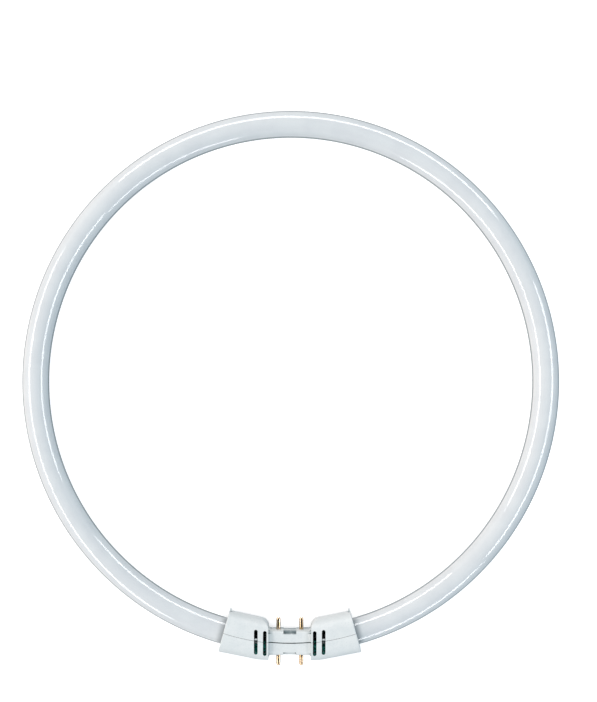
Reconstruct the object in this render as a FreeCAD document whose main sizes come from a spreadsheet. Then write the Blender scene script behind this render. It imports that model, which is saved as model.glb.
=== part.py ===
"""Ring-shaped fluorescent lamp of the slim kind, with a four-pin cap that closes the ring.

The ring lies flat in the XY plane and +Z runs along its axis. The origin is the centre of
the crown arc, in the middle plane of the glass. The cap is on the -Y side, and its pins
point to the ring's centre and away from it. All lengths are millimetres, angles degrees.
"""
import FreeCAD, Part
import math
import os
import Sketcher

DRIVING_SIZES = (
    ("tube_diameter", 15.0, "outside of the glass"),
    ("crown_radius", 141.3, "centre line of the glass, far from the cap"),
    ("side_radius", 144.2, "centre line of the two arcs that run to the cap"),
    ("crown_half_angle", 50, "reach of the crown arc each side of the far point"),
    ("glass_end_angle", 8.91, "sealed end of the glass, seen from the crown's centre"),
    ("glass_end_round", 4.5, "rounding of the sealed ends"),
    ("tip_diameter", 4.0, "exhaust tip on each sealed end"),
    ("tip_length", 7.0, "exhaust tip beyond the sealed end"),
    ("mouth_angle", 14.62, "mouth of each collar, seen from the crown's centre"),
    ("mouth_height", 22.8, "collar across its mouth, in the plane of the ring"),
    ("cap_depth", 22.5, "collar along the ring's axis"),
    ("collar_round", 7.0, "long edges of the collars"),
    ("shoulder_gap", 23.5, "free width between the two collars"),
    ("shoulder_inner", 12.0, "inner corner of a shoulder from the cap's centre line"),
    ("shoulder_outer", 9.4, "outer flat of a shoulder from the cap's centre line"),
    ("shoulder_flat", 7.2, "length of that outer flat"),
    ("shoulder_round", 6.7, "inner corner of a shoulder"),
    ("edge_round", 0.5, "moulded edge round each mouth"),
    ("inner_blend", 1.5, "hollow corner between the bar's inner face and a shoulder"),
    ("outer_blend", 1.6, "hollow corner between the bar's outer face and a shoulder"),
    ("broad_blend", 2.3, "hollow corner between the bar's broad faces and a shoulder"),
    ("corner_ease", 0.12, "how far round and hollow corners stand inside true tangency"),
    ("shell_wall", 1.6, "moulded wall"),
    ("collar_wall", 2.4, "wall of the collar at its mouth, in the plane of the ring"),
    ("mouth_wall", 4.0, "length of the wall that grips the glass at the mouth"),
    ("saddle_angle", 10.99, "saddle rib's near face, seen from the crown's centre"),
    ("saddle_wall", 1.6, "saddle rib under the sealed end"),
    ("glass_clearance", 0.25, "between the glass and its seats"),
    ("parting_gap", 0.16, "hairline between the two shells"),
    ("bridge_thickness", 13.3, "bar between the collars, from pin face to pin face"),
    ("bridge_drop", 0.64, "middle of the bar, outside the arc that leads from mouth to mouth"),
    ("bridge_depth", 17.0, "the same bar along the ring's axis"),
    ("bridge_round", 1.4, "long edges of the bar"),
    ("bridge_slit", 0.5, "open joint between the two halves of the bar"),
    ("notch_width", 7.0, "key notch between the pins"),
    ("notch_height", 1.6, "key notch into the pin face"),
    ("notch_depth", 3.5, "key notch along the ring's axis"),
    ("middle_rib", 8.0, "solid block between the left and right wire channels"),
    ("peg_diameter", 1.8, "pegs that line up the two halves of the bar"),
    ("peg_length", 2.2, "the same pegs beyond the parting line"),
    ("peg_spacing", 8.0, "the same pegs, middle to middle along the ring's axis"),
    ("peg_clearance", 0.1, "between a peg and its hole"),
    ("slot_width", 2.0, "openings in the shoulders"),
    ("slot_length", 13.8, "the same openings, across the parting line"),
    ("slot_drop", 0.6, "middle of the openings, outside the parting line"),
    ("near_slot", 13.75, "middle of the openings next to the bar, from the cap's middle"),
    ("far_slot", 18.7, "middle of the outer openings, from the cap's middle"),
    ("latch_width", 3.2, "latch tongues under the outer openings"),
    ("latch_thickness", 1.2, "the same tongues along the ring's axis"),
    ("latch_reach", 1.3, "the same tongues, to each side of the parting line"),
    ("latch_stem", 0.45, "start of their stems, inside the parting line"),
    ("latch_clearance", 0.15, "between a tongue and the wall that it holds"),
    ("nib_length", 1.4, "nib on the inner edge of each mouth, along the glass"),
    ("nib_top", 0.8, "the same nib at its top"),
    ("nib_height", 1.7, "the same nib above the collar"),
    ("nib_depth", 4.0, "the same nib along the ring's axis"),
    ("pin_spacing", 12.7, "left pin to right pin"),
    ("pin_diameter", 2.35, "contact pins"),
    ("pin_seat_diameter", 2.8, "thicker root of a pin, inside the shell's wall"),
    ("pin_length", 6.8, "contact pins beyond the pin face"),
    ("pin_taper", 1.4, "length of the pointed end of a pin"),
    ("pin_curve", 2.0, "curve of the pointed end of a pin"),
    ("pin_clearance", 0.04, "between a pin's root and its hole in the shell"),
    ("flange_diameter", 4.2, "flange behind the shell's wall"),
    ("flange_thickness", 0.7, "the same flange"),
    ("tail_length", 1.3, "crimped tail behind the flange"),
    ("lead_diameter", 0.8, "lead wires"),
    ("lead_offset", 4.0, "lead wires from the middle of the sealed end"),
    ("lead_standoff", 0.3, "start of a lead wire in front of the sealed end"),
    ("lead_bend", 1.4, "bend of a lead wire behind its pin"),
    ("lead_straight", 0.4, "straight stretch of a lead wire in front of the tail"),
    ("lead_seat", 1.0, "length of a lead wire inside the tail"),
    ("lead_clearance", 0.06, "between a lead wire and the crimped tail"),
)


def place_on_side_arc(name, angle):
    """Rows for the place where the glass crosses a ray from the crown's centre: its x, its
    distance out, and the turn of the side arc there, in degrees from straight out."""
    across = f"(Layout.side_centre_out * cos({angle}) - Layout.side_centre_x * sin({angle}))"
    apart = "(Sizes.side_radius - Sizes.crown_radius)"
    return (
        (f"{name}_reach", f"{across} + sqrt({across} ^ 2 + Sizes.side_radius ^ 2 - {apart} ^ 2)"),
        (f"{name}_x", f"Layout.{name}_reach * sin({angle})"),
        (f"{name}_out", f"Layout.{name}_reach * cos({angle})"),
        (f"{name}_turn", f"asin((Layout.{name}_x + Layout.side_centre_x) / Sizes.side_radius)"
                         " / (1 deg)"),
    )


# Worked out from the driving sizes. The x of a place on the right half is positive, and
# "out" is its distance from the crown's centre towards the cap, that is along -Y.
LAYOUT = (
    ("side_centre_x", "(Sizes.side_radius - Sizes.crown_radius) * sin(Sizes.crown_half_angle)"),
    ("side_centre_out", "(Sizes.side_radius - Sizes.crown_radius) * cos(Sizes.crown_half_angle)"),
    *place_on_side_arc("end", "Sizes.glass_end_angle"),
    *place_on_side_arc("mouth", "Sizes.mouth_angle"),
    *place_on_side_arc("saddle", "Sizes.saddle_angle"),
    ("cap_out", "Layout.mouth_out + Layout.mouth_x * tan(Layout.mouth_turn / 2)"
                " + Sizes.bridge_drop"),
    ("parting_sag", "Layout.cap_out - Layout.mouth_out"),
    ("parting_radius", "(Layout.mouth_x ^ 2 + Layout.parting_sag ^ 2) / (2 * Layout.parting_sag)"),
    ("parting_centre", "Layout.cap_out - Layout.parting_radius"),
    ("shoulder_x", "Sizes.shoulder_gap / 2"),
    ("flat_x", "Layout.shoulder_x + Sizes.shoulder_flat"),
    ("corner_out", "Layout.cap_out - Sizes.shoulder_inner"),
    ("outer_out", "Layout.cap_out + Sizes.shoulder_outer"),
    ("mouth_inner_x", "Layout.mouth_x - Sizes.mouth_height / 2 * sin(Layout.mouth_turn)"),
    ("mouth_inner_out", "Layout.mouth_out - Sizes.mouth_height / 2 * cos(Layout.mouth_turn)"),
    ("inner_slope", "(Layout.corner_out - Layout.mouth_inner_out)"
                    " / (Layout.mouth_inner_x - Layout.shoulder_x)"),
    ("slope_run", "sqrt(1 + Layout.inner_slope ^ 2)"),
    ("round_x", "Layout.shoulder_x + Sizes.shoulder_round - Sizes.corner_ease"),
    ("round_out", "Layout.corner_out - Sizes.shoulder_round * Layout.inner_slope"
                  " + Sizes.shoulder_round * Layout.slope_run - Sizes.corner_ease"),
    ("mouth_outer_x", "Layout.mouth_x + Sizes.mouth_height / 2 * sin(Layout.mouth_turn)"),
    ("mouth_outer_out", "Layout.mouth_out + Sizes.mouth_height / 2 * cos(Layout.mouth_turn)"),
    ("outer_slope", "(Layout.outer_out - Layout.mouth_outer_out)"
                    " / (Layout.mouth_outer_x - Layout.flat_x)"),
    ("heel_out", "Layout.outer_out + Sizes.shoulder_flat * Layout.outer_slope"),
    ("pin_x", "Sizes.pin_spacing / 2"),
    ("chamber_height", "Sizes.mouth_height - 2 * Sizes.collar_wall"),
    ("chamber_depth", "Sizes.cap_depth - 2 * Sizes.shell_wall"),
    ("chamber_x", "Layout.shoulder_x + Sizes.shell_wall"),
    ("chamber_out", "sqrt(Sizes.side_radius ^ 2 - (Layout.chamber_x + Layout.side_centre_x) ^ 2)"
                    " + Layout.side_centre_out"),
    ("chamber_length", "2 * Sizes.shell_wall"),
    ("chamber_turn", "asin((Layout.chamber_x + Sizes.shell_wall + Layout.side_centre_x)"
                     " / Sizes.side_radius) / (1 deg)"),
    ("saddle_back", "Layout.saddle_turn + Sizes.saddle_wall / Sizes.side_radius * 180 / pi"),
    ("mouth_back", "Layout.mouth_turn - Sizes.mouth_wall / Sizes.side_radius * 180 / pi"),
    ("latch_out", "Layout.parting_centre + sqrt(Layout.parting_radius ^ 2 - Sizes.far_slot ^ 2)"),
    ("latch_top", "Sizes.cap_depth / 2 - Sizes.shell_wall - Sizes.latch_clearance"),
    ("pin_face", "Sizes.bridge_thickness / 2"),
    ("tail_end", "Layout.pin_face - Sizes.shell_wall - Sizes.flange_thickness"
                 " - Sizes.tail_length"),
)

SIDE_WORDS = {1: "right", -1: "left"}
ROW_WORDS = {1: "inner", -1: "outer"}
SEAT_LEAD = 1.5  # degrees by which the cut for a glass seat runs past its wall
OVERRUN = 1  # millimetres by which a cutter or a root runs past the face it starts from
END_ROUND_LIMIT = 0.48  # rounding of a sealed end, at most, as a share of the tube's diameter


def fill_sheet(doc, name, rows):
    """One spreadsheet with a row for each value: its alias beside the value."""
    sheet = doc.addObject("Spreadsheet::Sheet", name)
    for number, row in enumerate(rows, start=1):
        sheet.set(f"A{number}", row[0])
        sheet.set(f"B{number}", f"={row[1]}" if isinstance(row[1], str) else str(row[1]))
        sheet.setAlias(f"B{number}", row[0])
    doc.recompute()
    return sheet


def value(doc, formula):
    """The number that a formula gives now, used to draw a sketch near its solution."""
    result = doc.getObject("Sizes").evalExpression(formula)
    return float(getattr(result, "Value", result))


def bind(thing, **formulas):
    """Ties properties to formulas; a double underscore stands for the dot of a sub-property."""
    for name, formula in formulas.items():
        thing.setExpression(name.replace("__", "."), formula)


def new_body(doc, label):
    body = doc.addObject("PartDesign::Body", label)
    body.Label = label
    return body


def plane_sketch(body, name, role, place=None):
    """A sketch on one of the body's own origin planes, moved in it by (x, y, z, turn, axis)."""
    sketch = body.newObject("Sketcher::SketchObject", name)
    plane = next(item for item in body.Origin.OriginFeatures if item.Role == role)
    sketch.AttachmentSupport = [(plane, "")]
    sketch.MapMode = "FlatFace"
    if place:
        turn_axis = FreeCAD.Vector(*place["axis"])
        sketch.AttachmentOffset = FreeCAD.Placement(
            FreeCAD.Vector(), FreeCAD.Rotation(turn_axis, 1))
        bind(sketch, AttachmentOffset__Base__x=place["x"], AttachmentOffset__Base__y=place["y"],
             AttachmentOffset__Base__z=place["z"], AttachmentOffset__Rotation__Angle=place["turn"])
    return sketch


def across_glass(body, name, x, out, turn):
    """A sketch across the glass on the right half: its x runs to the ring's centre, its y up."""
    place = {"x": f"-({out})", "y": "0", "z": x, "turn": turn, "axis": (0, 1, 0)}
    return plane_sketch(body, name, "YZ_Plane", place)


def pin_point(sketch, geometry, point, x=None, y=None):
    """Holds a point of the sketch at formulas measured from the sketch's origin."""
    for kind, formula in (("DistanceX", x), ("DistanceY", y)):
        if formula is None:
            continue
        number = value(sketch.Document, formula)
        index = sketch.addConstraint(Sketcher.Constraint(kind, -1, 1, geometry, point, number))
        sketch.setExpression(f"Constraints[{index}]", formula)


def hold_radius(sketch, geometry, formula):
    number = value(sketch.Document, formula)
    index = sketch.addConstraint(Sketcher.Constraint("Radius", geometry, number))
    sketch.setExpression(f"Constraints[{index}]", formula)


def draw_circle(sketch, radius):
    circle = Part.Circle(FreeCAD.Vector(), FreeCAD.Vector(0, 0, 1), value(sketch.Document, radius))
    index = sketch.addGeometry(circle, False)
    sketch.addConstraint(Sketcher.Constraint("Coincident", index, 3, -1, 1))
    hold_radius(sketch, index, radius)


def draw_rounded_rectangle(sketch, width, height, radius):
    """A rectangle with round corners, centred on the sketch's origin."""
    doc = sketch.Document
    half_x, half_y = f"(({width}) / 2 - ({radius}))", f"(({height}) / 2 - ({radius}))"
    x, y, r = value(doc, half_x), value(doc, half_y), value(doc, radius)
    arcs = []
    for number, (sign_x, sign_y) in enumerate(((1, 1), (-1, 1), (-1, -1), (1, -1))):
        circle = Part.Circle(FreeCAD.Vector(sign_x * x, sign_y * y), FreeCAD.Vector(0, 0, 1), r)
        start = number * math.pi / 2
        arcs.append(sketch.addGeometry(Part.ArcOfCircle(circle, start, start + math.pi / 2), False))
        pin_point(sketch, arcs[-1], 3, f"{sign_x} * {half_x}", f"{sign_y} * {half_y}")
    for first, second in zip(arcs, arcs[1:] + arcs[:1]):
        start, end = sketch.Geometry[first].EndPoint, sketch.Geometry[second].StartPoint
        line = sketch.addGeometry(Part.LineSegment(start, end), False)
        sketch.addConstraint(Sketcher.Constraint("Tangent", first, 2, line, 1))
        sketch.addConstraint(Sketcher.Constraint("Tangent", line, 2, second, 1))
    hold_radius(sketch, arcs[0], radius)
    for arc in arcs[1:]:
        sketch.addConstraint(Sketcher.Constraint("Equal", arcs[0], arc))


def draw_outline(sketch, corners):
    """A closed outline. Each corner is (x, y) or, where an arc runs on to the next corner,
    (x, y, centre x, centre y, turn) with turn 1 for anticlockwise and -1 for clockwise."""
    doc = sketch.Document
    spots = [FreeCAD.Vector(value(doc, corner[0]), value(doc, corner[1])) for corner in corners]
    edges = []
    for corner, start, end in zip(corners, spots, spots[1:] + spots[:1]):
        if len(corner) == 2:
            edges.append((sketch.addGeometry(Part.LineSegment(start, end), False), 1, 2))
            continue
        centre = FreeCAD.Vector(value(doc, corner[2]), value(doc, corner[3]))
        circle = Part.Circle(centre, FreeCAD.Vector(0, 0, 1), (start - centre).Length)
        angles = [math.atan2(spot.y - centre.y, spot.x - centre.x) for spot in (start, end)]
        if corner[4] < 0:
            angles.reverse()
        if angles[1] < angles[0]:
            angles[1] += 2 * math.pi
        ends = (1, 2) if corner[4] > 0 else (2, 1)
        edges.append((sketch.addGeometry(Part.ArcOfCircle(circle, *angles), False), *ends))
    for number, corner in enumerate(corners):
        edge, start, end = edges[number]
        following = edges[(number + 1) % len(edges)]
        sketch.addConstraint(Sketcher.Constraint("Coincident", edge, end, following[0], following[1]))
        hold_x, hold_y = True, True
        if len(corners[number - 1]) > 2:
            arc_centre = [value(doc, formula) for formula in corners[number - 1][2:4]]
            steep = abs(spots[number].y - arc_centre[1]) < abs(spots[number].x - arc_centre[0])
            hold_x, hold_y = not steep, steep
        pin_point(sketch, edge, start, corner[0] if hold_x else None, corner[1] if hold_y else None)
        if len(corner) > 2:
            pin_point(sketch, edge, 3, corner[2], corner[3])


def feature(body, kind, name, profile, **values):
    """A PartDesign feature on a sketch, with plain property values."""
    made = body.newObject(f"PartDesign::{kind}", name)
    made.Profile = profile
    for prop, setting in values.items():
        setattr(made, prop, setting)
    return made


def pad_both_ways(body, name, profile, length, kind="Pad"):
    """A pad, or a pocket, of the given length in all, half to each side of its sketch."""
    made = feature(body, kind, name, profile, Midplane=True)
    bind(made, Length=length)
    return made


def mirror_across(body, name, originals):
    """Repeats features on the left half, across the plane through the ring's axis."""
    mirrored = body.newObject("PartDesign::Mirrored", name)
    mirrored.Originals = originals
    plane = next(item for item in body.Origin.OriginFeatures if item.Role == "YZ_Plane")
    mirrored.MirrorPlane = (plane, [""])
    body.Tip = mirrored
    return mirrored


def combine(doc, kind, name, first, second):
    """Part::Cut or Part::Common of two objects."""
    made = doc.addObject(f"Part::{kind}", name)
    made.Base, made.Tool = first, second
    made.Refine = True
    return made


def fuse(doc, name, shapes):
    made = doc.addObject("Part::MultiFuse", name)
    made.Shapes = shapes
    made.Refine = True
    return made


def glass_tube(doc):
    """The sealed glass: one tube along three arcs, round ends and an exhaust tip on each."""
    body = new_body(doc, "glass_tube")
    side = turned_about_side_centre(
        body, "glass_side", "Layout.end_turn", "180 - Sizes.crown_half_angle",
        lambda section: draw_circle(section, "Sizes.tube_diameter / 2"))
    mirror_across(body, "other_glass_side", [side])
    section = across_glass(body, "crown_section", "0", "-Sizes.crown_radius", "0")
    draw_circle(section, "Sizes.tube_diameter / 2")
    add_axis(section, "-Sizes.crown_radius")
    crown = feature(body, "Revolution", "glass_crown", section, Midplane=True)
    crown.ReferenceAxis = (section, ["Axis0"])
    bind(crown, Angle="2 * Sizes.crown_half_angle")
    doc.recompute()
    ends = [f"Edge{number}" for number, edge in enumerate(crown.Shape.Edges, start=1)
            if bounds_flat_end(crown.Shape, edge)]
    rounded = body.newObject("PartDesign::Fillet", "sealed_ends")
    rounded.Base = (crown, ends)
    bind(rounded, Radius=f"min(Sizes.glass_end_round; {END_ROUND_LIMIT} * Sizes.tube_diameter)")
    place = {"x": "Layout.end_x", "y": "-Layout.end_out", "z": "0",
             "turn": "180 + Layout.end_turn", "axis": (0, 0, 1)}
    profile = plane_sketch(body, "tip_profile", "XY_Plane", place)
    radius, straight = "Sizes.tip_diameter / 2", "(Sizes.tip_length - Sizes.tip_diameter / 2)"
    root = f"-{OVERRUN}"
    draw_outline(profile, ((root, "0"), ("Sizes.tip_length", "0", straight, "0", 1),
                           (straight, radius), (root, radius)))
    tip = feature(body, "Revolution", "exhaust_tip", profile, Angle=360)
    tip.ReferenceAxis = (profile, ["H_Axis"])
    mirror_across(body, "other_exhaust_tip", [tip])
    return body


def add_axis(section, x):
    """A construction line along the ring's axis, for a section that is turned about it."""
    at = value(section.Document, x)
    line = Part.LineSegment(FreeCAD.Vector(at, 0), FreeCAD.Vector(at, 1))
    axis = section.addGeometry(line, True)
    pin_point(section, axis, 1, x, "0")
    pin_point(section, axis, 2, x, "1")


def turned_about_side_centre(body, name, start, end, draw):
    """A section drawn across the glass at one angle and turned about the side arc's centre."""
    x = f"Sizes.side_radius * sin({start}) - Layout.side_centre_x"
    out = f"Sizes.side_radius * cos({start}) + Layout.side_centre_out"
    section = across_glass(body, f"{name}_section", x, out, start)
    draw(section)
    add_axis(section, "Sizes.side_radius")
    made = feature(body, "Revolution", name, section)
    made.ReferenceAxis = (section, ["Axis0"])
    bind(made, Angle=f"{end} - {start}")
    return made


def bounds_flat_end(shape, edge):
    """True for the round rim of a flat end, which has a plane on one side."""
    faces = shape.ancestorsOfType(edge, Part.Face)
    return any(face.Surface.TypeId == "Part::GeomPlane" for face in faces)


def corner_cutter(body, name, radius):
    """What lies outside the round inner corner of the right shoulder, for a given radius."""
    sketch = plane_sketch(body, name, "XY_Plane")
    end_x = f"(Layout.round_x - ({radius}) * Layout.inner_slope / Layout.slope_run)"
    end_y = f"-(Layout.round_out - ({radius}) / Layout.slope_run)"
    start_x = f"(Layout.round_x - ({radius}))"
    far_x = "(Layout.shoulder_x - Sizes.shell_wall)"
    far_y = "-(Layout.mouth_inner_out - Sizes.mouth_wall)"
    draw_outline(sketch, (
        (start_x, "-Layout.round_out", "Layout.round_x", "-Layout.round_out", -1),
        (end_x, end_y), (end_x, far_y), (far_x, far_y), (far_x, "-Layout.round_out")))
    return sketch


def cap_block(doc):
    """The cap's outside: two tapered collars and a slimmer bar that joins them."""
    half = new_body(doc, "right_cap_half")
    collar(half)
    mouth_nib(half)
    across = across_glass(half, "bar_section", "0", "Layout.cap_out", "0")
    draw_rounded_rectangle(across, "Sizes.bridge_thickness", "Sizes.bridge_depth",
                           "Sizes.bridge_round")
    bar = feature(half, "Pad", "half_bar", across)
    bind(bar, Length="Layout.chamber_x")
    place = {"x": "0", "y": "-Layout.cap_out", "z": "0", "turn": "0", "axis": (0, 0, 1)}
    for name, row in (("inner", 1), ("outer", -1)):
        hollow_corner(half, name, plane_sketch(half, f"{name}_corner_outline", "XY_Plane", place),
                      f"({row} * Layout.pin_face)", f"({row} * Sizes.{name}_blend)",
                      "Sizes.bridge_depth")
    place.update(y="0", z="Layout.cap_out")
    for name, row in (("front", 1), ("back", -1)):
        hollow_corner(half, name, plane_sketch(half, f"{name}_corner_outline", "XZ_Plane", place),
                      f"({row} * Sizes.bridge_depth / 2)", f"({row} * Sizes.broad_blend)",
                      "Sizes.bridge_thickness")
    other = doc.addObject("Part::Mirroring", "left_cap_half")
    other.Source = half
    other.Normal = FreeCAD.Vector(1, 0, 0)
    return fuse(doc, "cap_block", [half, other])


def collar(body):
    """The right collar: a tapered block with round long edges, a round corner towards the bar,
    an outer flat and an eased rim round its mouth."""
    doc = body.Document
    outline = plane_sketch(body, "collar_outline", "XY_Plane")
    draw_outline(outline, (
        ("Layout.mouth_inner_x", "-Layout.mouth_inner_out"),
        ("Layout.shoulder_x", "-Layout.corner_out"), ("Layout.shoulder_x", "-Layout.heel_out"),
        ("Layout.mouth_outer_x", "-Layout.mouth_outer_out")))
    block = pad_both_ways(body, "collar", outline, "Sizes.cap_depth")
    doc.recompute()
    edges = []
    for mouth_x, mouth_out, end_out in (
            ("Layout.mouth_inner_x", "Layout.mouth_inner_out", "Layout.corner_out"),
            ("Layout.mouth_outer_x", "Layout.mouth_outer_out", "Layout.heel_out")):
        x = value(doc, f"({mouth_x} + Layout.shoulder_x) / 2")
        y = -value(doc, f"({mouth_out} + {end_out}) / 2")
        half_depth = value(doc, "Sizes.cap_depth / 2")
        edges += [edge_at(block.Shape, (x, y, z)) for z in (half_depth, -half_depth)]
    rounded = body.newObject("PartDesign::Fillet", "collar_rounds")
    rounded.Base = (block, edges)
    bind(rounded, Radius="Sizes.collar_round")
    pad_both_ways(body, "round_corner",
                  corner_cutter(body, "corner_outline", "Sizes.shoulder_round"),
                  "2 * Sizes.cap_depth", kind="Pocket")
    flat = plane_sketch(body, "flat_outline", "XY_Plane")
    left, right = "(Layout.shoulder_x - Sizes.shell_wall)", "Layout.mouth_outer_x"
    top, bottom = "-Layout.outer_out", "-(Layout.heel_out + Sizes.shell_wall)"
    draw_outline(flat, ((left, bottom), (right, bottom), (right, top), (left, top)))
    solid = pad_both_ways(body, "outer_flat", flat, "2 * Sizes.cap_depth", kind="Pocket")
    doc.recompute()
    mouth = FreeCAD.Vector(value(doc, "Layout.mouth_x"), -value(doc, "Layout.mouth_out"), 0)
    rims = body.newObject("PartDesign::Fillet", "mouth_rims")
    rims.Base = (solid, flat_face_edges(solid.Shape, mouth))
    bind(rims, Radius="Sizes.edge_round")


def hollow_corner(body, name, sketch, face, rise, width):
    """A hollow round in the corner between a face of the bar and the right shoulder. Face and
    rise are measured across the bar from its middle, both below zero for the face behind it."""
    row = 1 if value(body.Document, rise) > 0 else -1
    end = "(Layout.shoulder_x + Sizes.corner_ease)"
    start, above = f"({end} - {row} * {rise})", f"({face} + {rise})"
    inside, below = f"({end} + Sizes.shell_wall / 2)", f"({face} - {row} * Sizes.shell_wall / 2)"
    draw_outline(sketch, ((start, face, start, above, row), (end, above), (inside, above),
                          (inside, below), (start, below)))
    pad_both_ways(body, f"{name}_corner", sketch, f"{width} - 2 * Sizes.bridge_round")


def flat_face_edges(shape, spot):
    """The names of the edges round the flat face that a spot lies on."""
    vertex = Part.Vertex(spot)
    flats = [face for face in shape.Faces if face.Surface.TypeId == "Part::GeomPlane"]
    nearest = min(flats, key=lambda face: face.distToShape(vertex)[0])
    return [f"Edge{number}" for number, edge in enumerate(shape.Edges, start=1)
            if any(edge.isSame(other) for other in nearest.Edges)]


def edge_at(shape, spot):
    """The name of the edge that passes nearest to a spot."""
    vertex = Part.Vertex(FreeCAD.Vector(*spot))
    distances = [edge.distToShape(vertex)[0] for edge in shape.Edges]
    return f"Edge{distances.index(min(distances)) + 1}"


def cap_cavity(doc):
    """Everything that is open inside the cap: chambers, wire channels and shoulder openings."""
    body = new_body(doc, "cap_cavity")
    made = [chamber(body)]
    made += [pad_both_ways(body, "chamber_corner",
                           corner_cutter(body, "chamber_corner_outline",
                                         "Sizes.shoulder_round - Sizes.shell_wall"),
                           "2 * Sizes.cap_depth", kind="Pocket")]
    for name, start, end in (("end_chamber", "Layout.chamber_turn", "Layout.saddle_turn"),
                             ("collar_chamber", "Layout.saddle_back", "Layout.mouth_back")):
        made += [turned_about_side_centre(body, name, start, end, draw_chamber)]
    made += [wire_channel(body)]
    made += [opening(body, "near_opening", "Sizes.near_slot"),
             opening(body, "far_opening", "Sizes.far_slot")]
    mirror_across(body, "other_side", made)
    return body


def draw_chamber(section):
    draw_rounded_rectangle(section, "Layout.chamber_height", "Layout.chamber_depth",
                           "Sizes.collar_round - Sizes.shell_wall")


def chamber(body):
    """The straight start of a chamber, behind the wall at the shoulder's end."""
    section = across_glass(body, "chamber_section", "Layout.chamber_x", "Layout.chamber_out", "0")
    draw_chamber(section)
    made = feature(body, "Pad", "chamber", section)
    bind(made, Length="Layout.chamber_length")
    return made


def mouth_nib(body):
    """A small nib that stands on the inner edge of the mouth, towards the ring's centre."""
    place = {"x": "Layout.mouth_inner_x", "y": "-Layout.mouth_inner_out", "z": "0",
             "turn": "Layout.mouth_turn", "axis": (0, 0, 1)}
    sketch = plane_sketch(body, "nib_outline", "XY_Plane", place)
    draw_outline(sketch, (
        ("0", "-Sizes.shell_wall / 2"), ("0", "Sizes.nib_height"),
        ("-Sizes.nib_top", "Sizes.nib_height"), ("-Sizes.nib_length", "0"),
        ("-Sizes.nib_length", "-Sizes.shell_wall / 2")))
    return pad_both_ways(body, "nib", sketch, "Sizes.nib_depth")


def wire_channel(body):
    """The channel through the right half of the bar, from the middle block to the chamber."""
    section = across_glass(body, "channel_section", "Sizes.middle_rib / 2", "Layout.cap_out", "0")
    draw_rounded_rectangle(section, "Sizes.bridge_thickness - 2 * Sizes.shell_wall",
                           "Sizes.bridge_depth - 2 * Sizes.shell_wall", "Sizes.bridge_round / 2")
    made = feature(body, "Pad", "wire_channel", section)
    bind(made, Length="Layout.chamber_x + Sizes.shell_wall / 2 - Sizes.middle_rib / 2")
    return made


def opening(body, name, middle):
    """A round-ended opening across the parting line, through the front face only."""
    out = (f"(Layout.parting_centre + sqrt(Layout.parting_radius ^ 2 - {middle} ^ 2)"
           " + Sizes.slot_drop)")
    half_run = "(Sizes.slot_length - Sizes.slot_width) / 2"
    left, right = f"({middle} - Sizes.slot_width / 2)", f"({middle} + Sizes.slot_width / 2)"
    upper, lower = f"(-{out} + {half_run})", f"(-{out} - {half_run})"
    place = {"x": "0", "y": "0", "z": "Sizes.cap_depth / 2 - Sizes.shell_wall / 2", "turn": "0",
             "axis": (0, 0, 1)}
    sketch = plane_sketch(body, f"{name}_outline", "XY_Plane", place)
    draw_outline(sketch, (
        (right, upper, middle, upper, 1), (left, upper), (left, lower, middle, lower, 1),
        (right, lower)))
    return pad_both_ways(body, name, sketch, "2 * Sizes.shell_wall")


def bar_slit(doc):
    """The open joint along the bar, wider than the hairline between the collars."""
    body = new_body(doc, "bar_slit")
    sketch = plane_sketch(body, "slit_outline", "XY_Plane")
    centre, sides = "-Layout.parting_centre", []
    for sign in (-1, 1):
        radius = f"(Layout.parting_radius + {sign} * Sizes.bridge_slit / 2)"
        sides.append(f"(-Layout.parting_centre - sqrt({radius} ^ 2 - Layout.shoulder_x ^ 2))")
    draw_outline(sketch, (
        ("-Layout.shoulder_x", sides[1], "0", centre, 1), ("Layout.shoulder_x", sides[1]),
        ("Layout.shoulder_x", sides[0], "0", centre, -1), ("-Layout.shoulder_x", sides[0])))
    pad_both_ways(body, "slit", sketch, "2 * Sizes.cap_depth")
    return body


def glass_seat(doc, name, sign):
    """The bore of one collar: it follows the glass through the saddle and the mouth."""
    seat = doc.addObject("Part::Torus", name)
    start = f"(Layout.saddle_turn - {SEAT_LEAD})"
    finish = f"(Layout.mouth_turn + 2 * {SEAT_LEAD})"
    bind(seat, Radius1="Sizes.side_radius",
         Radius2="Sizes.tube_diameter / 2 + Sizes.glass_clearance",
         Angle3=f"{finish} - {start}",
         Placement__Base__x=f"-{sign} * Layout.side_centre_x",
         Placement__Base__y="-Layout.side_centre_out",
         Placement__Rotation__Angle=f"-90 + {start}" if sign > 0 else f"-90 - {finish}")
    return seat


def rod_along_y(doc, name, radius, x, out, z, length):
    """A round rod that runs along +Y from a given distance out."""
    rod = doc.addObject("Part::Cylinder", name)
    rod.Placement = FreeCAD.Placement(
        FreeCAD.Vector(), FreeCAD.Rotation(FreeCAD.Vector(1, 0, 0), -90))
    bind(rod, Radius=radius, Height=length, Placement__Base__x=x,
         Placement__Base__y=f"-({out})", Placement__Base__z=z)
    return rod


def key_notch(doc, name, row, face):
    """A notch in one pin face, cut from one broad face of the bar. Row 1 is the inner face."""
    notch = doc.addObject("Part::Box", name)
    low_y = ("-Layout.cap_out + Layout.pin_face - Sizes.notch_height" if row > 0
             else f"-Layout.cap_out - Layout.pin_face - {OVERRUN}")
    low_z = ("Sizes.bridge_depth / 2 - Sizes.notch_depth" if face > 0
             else f"-Sizes.bridge_depth / 2 - {OVERRUN}")
    bind(notch, Length="Sizes.notch_width", Width=f"Sizes.notch_height + {OVERRUN}",
         Height=f"Sizes.notch_depth + {OVERRUN}", Placement__Base__x="-Sizes.notch_width / 2",
         Placement__Base__y=low_y, Placement__Base__z=low_z)
    return notch


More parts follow.
